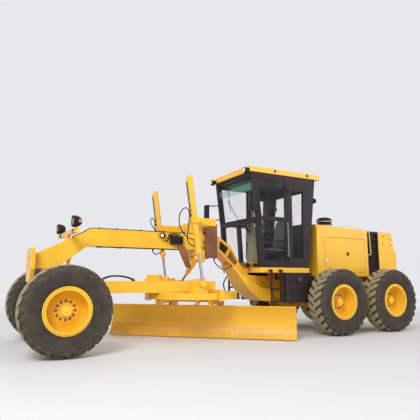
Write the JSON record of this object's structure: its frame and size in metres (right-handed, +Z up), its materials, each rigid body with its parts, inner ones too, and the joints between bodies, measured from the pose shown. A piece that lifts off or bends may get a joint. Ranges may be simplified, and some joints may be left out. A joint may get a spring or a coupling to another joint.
{
  "type": "motor grader",
  "caption": "Articulated motor grader with cab, tandem drive, leaning front wheels and a blade slung under a gooseneck frame on a turning circle.",
  "frame": {"origin": "on the ground below the middle of the machine's length, on its centre line", "axes": "+X forward, +Y to the machine's left, +Z up"},
  "size_m": [8.745, 2.6821, 3.42],
  "materials": {
    "yellow_paint": "satin, dusty",
    "black_paint": "satin",
    "dark_steel": "matt, dusty and greasy",
    "tyre_rubber": "matt, dusty",
    "clear_glass": "clear",
    "rod_chrome": "polished",
    "seat_fabric": "woven",
    "cab_plastic": "grained",
    "edge_steel": "worn"
  },
  "bodies": {
    "rear": {"rear_frame": "yellow_paint", "tandem_cases": "yellow_paint", "rear_axle": "yellow_paint", "hood": "yellow_paint", "engine_block": "dark_steel", "radiator": "black_paint", "tail_box": "yellow_paint", "cab_floor": "yellow_paint", "cab_frame": "black_paint", "cab_roof": "yellow_paint", "cab_glass": "clear_glass", "seat": "seat_fabric", "console": "cab_plastic", "side_tanks": "black_paint", "ladders": "black_paint", "fittings": "black_paint"},
    "cab_door_left": {"cab_door_left": "black_paint", "door_glass_left": "clear_glass"},
    "cab_door_right": {"cab_door_right": "black_paint", "door_glass_right": "clear_glass"},
    "hood_door_left": {"hood_door_left": "yellow_paint"},
    "hood_door_right": {"hood_door_right": "yellow_paint"},
    "front": {"front_frame": "yellow_paint", "front_plate": "yellow_paint", "headlamps": "black_paint", "front_axle": "dark_steel", "lift_saddle": "yellow_paint", "shift_yoke": "dark_steel", "valve_block": "dark_steel"},
    "lean_bar": {"lean_bar": "dark_steel"},
    "tie_rod": {"tie_rod": "dark_steel"},
    "drawbar": {"drawbar": "yellow_paint"},
    "circle": {"circle": "yellow_paint"},
    "tilt_carrier": {"tilt_carrier": "dark_steel"},
    "blade": {"blade": "yellow_paint", "cutting_edge": "edge_steel"},
    "tip_barrel": {"tip_barrel": "yellow_paint"},
    "tip_rod": {"tip_rod": "rod_chrome"},
    "shift_barrel": {"shift_barrel": "yellow_paint"},
    "shift_rod": {"shift_rod": "rod_chrome"},
    "lean_left": {"lean_bracket_left": "dark_steel"},
    "steer_left": {"knuckle_left": "dark_steel"},
    "lift_barrel_left": {"lift_barrel_left": "yellow_paint"},
    "lift_rod_left": {"lift_rod_left": "rod_chrome"},
    "wheel_front_left": {"tyre_front_left": "tyre_rubber", "rim_front_left": "yellow_paint"},
    "wheel_mid_left": {"tyre_mid_left": "tyre_rubber", "rim_mid_left": "yellow_paint"},
    "wheel_rear_left": {"tyre_rear_left": "tyre_rubber", "rim_rear_left": "yellow_paint"},
    "lean_right": {"lean_bracket_right": "dark_steel"},
    "steer_right": {"knuckle_right": "dark_steel"},
    "lift_barrel_right": {"lift_barrel_right": "yellow_paint"},
    "lift_rod_right": {"lift_rod_right": "rod_chrome"},
    "wheel_front_right": {"tyre_front_right": "tyre_rubber", "rim_front_right": "yellow_paint"},
    "wheel_mid_right": {"tyre_mid_right": "tyre_rubber", "rim_mid_right": "yellow_paint"},
    "wheel_rear_right": {"tyre_rear_right": "tyre_rubber", "rim_rear_right": "yellow_paint"}
  },
  "joints": [
    {"name": "articulation", "type": "hinge", "parent": "rear", "child": "front", "pos_m": [-0.75, 0, 0.93], "axis": [0, 0, -1], "range_deg": [-20, 20]},
    {"name": "lean_left", "type": "hinge", "parent": "front", "child": "lean_left", "pos_m": [3.7, 0.76, 0.675], "axis": [1, 0, 0], "range_deg": [-18, 18]},
    {"name": "steer_left", "type": "hinge", "parent": "lean_left", "child": "steer_left", "pos_m": [3.7, 0.9, 0.675], "axis": [0, 0, 1], "range_deg": [-48, 48]},
    {"name": "roll_front_left", "type": "hinge", "parent": "steer_left", "child": "wheel_front_left", "pos_m": [3.7, 1.075, 0.675], "axis": [0, 1, 0], "continuous": true},
    {"name": "lean_right", "type": "hinge", "parent": "front", "child": "lean_right", "pos_m": [3.7, -0.76, 0.675], "axis": [1, 0, 0], "range_deg": [-18, 18]},
    {"name": "steer_right", "type": "hinge", "parent": "lean_right", "child": "steer_right", "pos_m": [3.7, -0.9, 0.675], "axis": [0, 0, 1], "range_deg": [-48, 48]},
    {"name": "roll_front_right", "type": "hinge", "parent": "steer_right", "child": "wheel_front_right", "pos_m": [3.7, -1.075, 0.675], "axis": [0, 1, 0], "continuous": true},
    {"name": "lean_bar_turn", "type": "hinge", "parent": "lean_left", "child": "lean_bar", "pos_m": [3.7, 0.76, 0.925], "axis": [1, 0, 0], "range_deg": [-19, 19]},
    {"name": "tie_rod_travel", "type": "slide", "parent": "front", "child": "tie_rod", "axis": [0, 1, 0], "range_m": [-0.12, 0.12]},
    {"name": "roll_mid_left", "type": "hinge", "parent": "rear", "child": "wheel_mid_left", "pos_m": [-1.75, 1.075, 0.675], "axis": [0, 1, 0], "continuous": true},
    {"name": "roll_mid_right", "type": "hinge", "parent": "rear", "child": "wheel_mid_right", "pos_m": [-1.75, -1.075, 0.675], "axis": [0, 1, 0], "continuous": true},
    {"name": "roll_rear_left", "type": "hinge", "parent": "rear", "child": "wheel_rear_left", "pos_m": [-3.29, 1.075, 0.675], "axis": [0, 1, 0], "continuous": true},
    {"name": "roll_rear_right", "type": "hinge", "parent": "rear", "child": "wheel_rear_right", "pos_m": [-3.29, -1.075, 0.675], "axis": [0, 1, 0], "continuous": true},
    {"name": "cab_door_left", "type": "hinge", "parent": "rear", "child": "cab_door_left", "pos_m": [-0.747, 0.754, 2.3], "axis": [0, 0, 1], "range_deg": [0, 110]},
    {"name": "hood_door_left", "type": "hinge", "parent": "rear", "child": "hood_door_left", "pos_m": [-2.4, 0.562, 2.063], "axis": [1, 0, 0], "range_deg": [0, 80]},
    {"name": "cab_door_right", "type": "hinge", "parent": "rear", "child": "cab_door_right", "pos_m": [-0.747, -0.754, 2.3], "axis": [0, 0, -1], "range_deg": [0, 110]},
    {"name": "hood_door_right", "type": "hinge", "parent": "rear", "child": "hood_door_right", "pos_m": [-2.4, -0.562, 2.063], "axis": [-1, 0, 0], "range_deg": [0, 80]},
    {"name": "blade_lift", "type": "hinge", "parent": "front", "child": "drawbar", "pos_m": [3.34, 0, 0.95], "axis": [0, 1, 0], "range_deg": [-9, 7]},
    {"name": "lift_barrel_turn_left", "type": "hinge", "parent": "front", "child": "lift_barrel_left", "pos_m": [1.47, 0.85, 2.19], "axis": [0, 1, 0], "range_deg": [-1.9, 1.5]},
    {"name": "lift_rod_travel_left", "type": "slide", "parent": "lift_barrel_left", "child": "lift_rod_left", "axis": [-0.1475, 0, -0.9891], "range_m": [-0.2495, 0.3202]},
    {"name": "lift_barrel_turn_right", "type": "hinge", "parent": "front", "child": "lift_barrel_right", "pos_m": [1.47, -0.85, 2.19], "axis": [0, 1, 0], "range_deg": [-1.9, 1.5]},
    {"name": "lift_rod_travel_right", "type": "slide", "parent": "lift_barrel_right", "child": "lift_rod_right", "axis": [-0.1475, 0, -0.9891], "range_m": [-0.2495, 0.3202]},
    {"name": "shift_barrel_turn", "type": "hinge", "parent": "front", "child": "shift_barrel", "pos_m": [1.2, 0.2, 1.4], "axis": [1, 0, 0], "range_deg": [-19, 25]},
    {"name": "shift_rod_travel", "type": "slide", "parent": "shift_barrel", "child": "shift_rod", "axis": [0, -0.8269, -0.5623], "range_m": [-0.1571, 0.2015]},
    {"name": "circle_turn", "type": "hinge", "parent": "drawbar", "child": "circle", "pos_m": [1.1, 0, 0.82], "axis": [0, 0, 1], "continuous": true},
    {"name": "blade_tip", "type": "hinge", "parent": "circle", "child": "tilt_carrier", "pos_m": [0.93664, -0.18925, 0.33], "axis": [-0.757, 0.6534, 0], "range_deg": [-5, 40]},
    {"name": "tip_barrel_turn", "type": "hinge", "parent": "circle", "child": "tip_barrel", "pos_m": [0.70795, -0.4542, 0.69], "axis": [-0.757, 0.6534, 0], "range_deg": [-0.6, 3.5]},
    {"name": "tip_rod_travel", "type": "slide", "parent": "tip_barrel", "child": "tip_rod", "axis": [0.6057, 0.7017, -0.3752], "range_m": [-0.019, 0.1382]},
    {"name": "blade_shift", "type": "slide", "parent": "tilt_carrier", "child": "blade", "axis": [0.757, -0.6534, 0], "range_m": [-0.47, 0.83]}
  ],
  "couplings": [
    {"joint": "lean_right", "follows": "lean_left", "ratio": 1},
    {"joint": "steer_right", "follows": "steer_left", "ratio": 1},
    {"joint": "lean_bar_turn", "follows": "lean_left", "ratio": -1},
    {"joint": "tie_rod_travel", "follows": "steer_left", "m_per_rad": -0.12862},
    {"joint": "lift_barrel_turn_left", "follows": "blade_lift", "ratio": 0.19134},
    {"joint": "lift_barrel_turn_right", "follows": "blade_lift", "ratio": 0.19134},
    {"joint": "lift_rod_travel_left", "follows": "blade_lift", "m_per_rad": -2.0256},
    {"joint": "lift_rod_travel_right", "follows": "blade_lift", "m_per_rad": -2.0256},
    {"joint": "shift_barrel_turn", "follows": "blade_lift", "ratio": -2.6787},
    {"joint": "shift_rod_travel", "follows": "blade_lift", "m_per_rad": -1.2698},
    {"joint": "tip_barrel_turn", "follows": "blade_tip", "ratio": 0.08268},
    {"joint": "tip_rod_travel", "follows": "blade_tip", "m_per_rad": 0.19511}
  ]
}
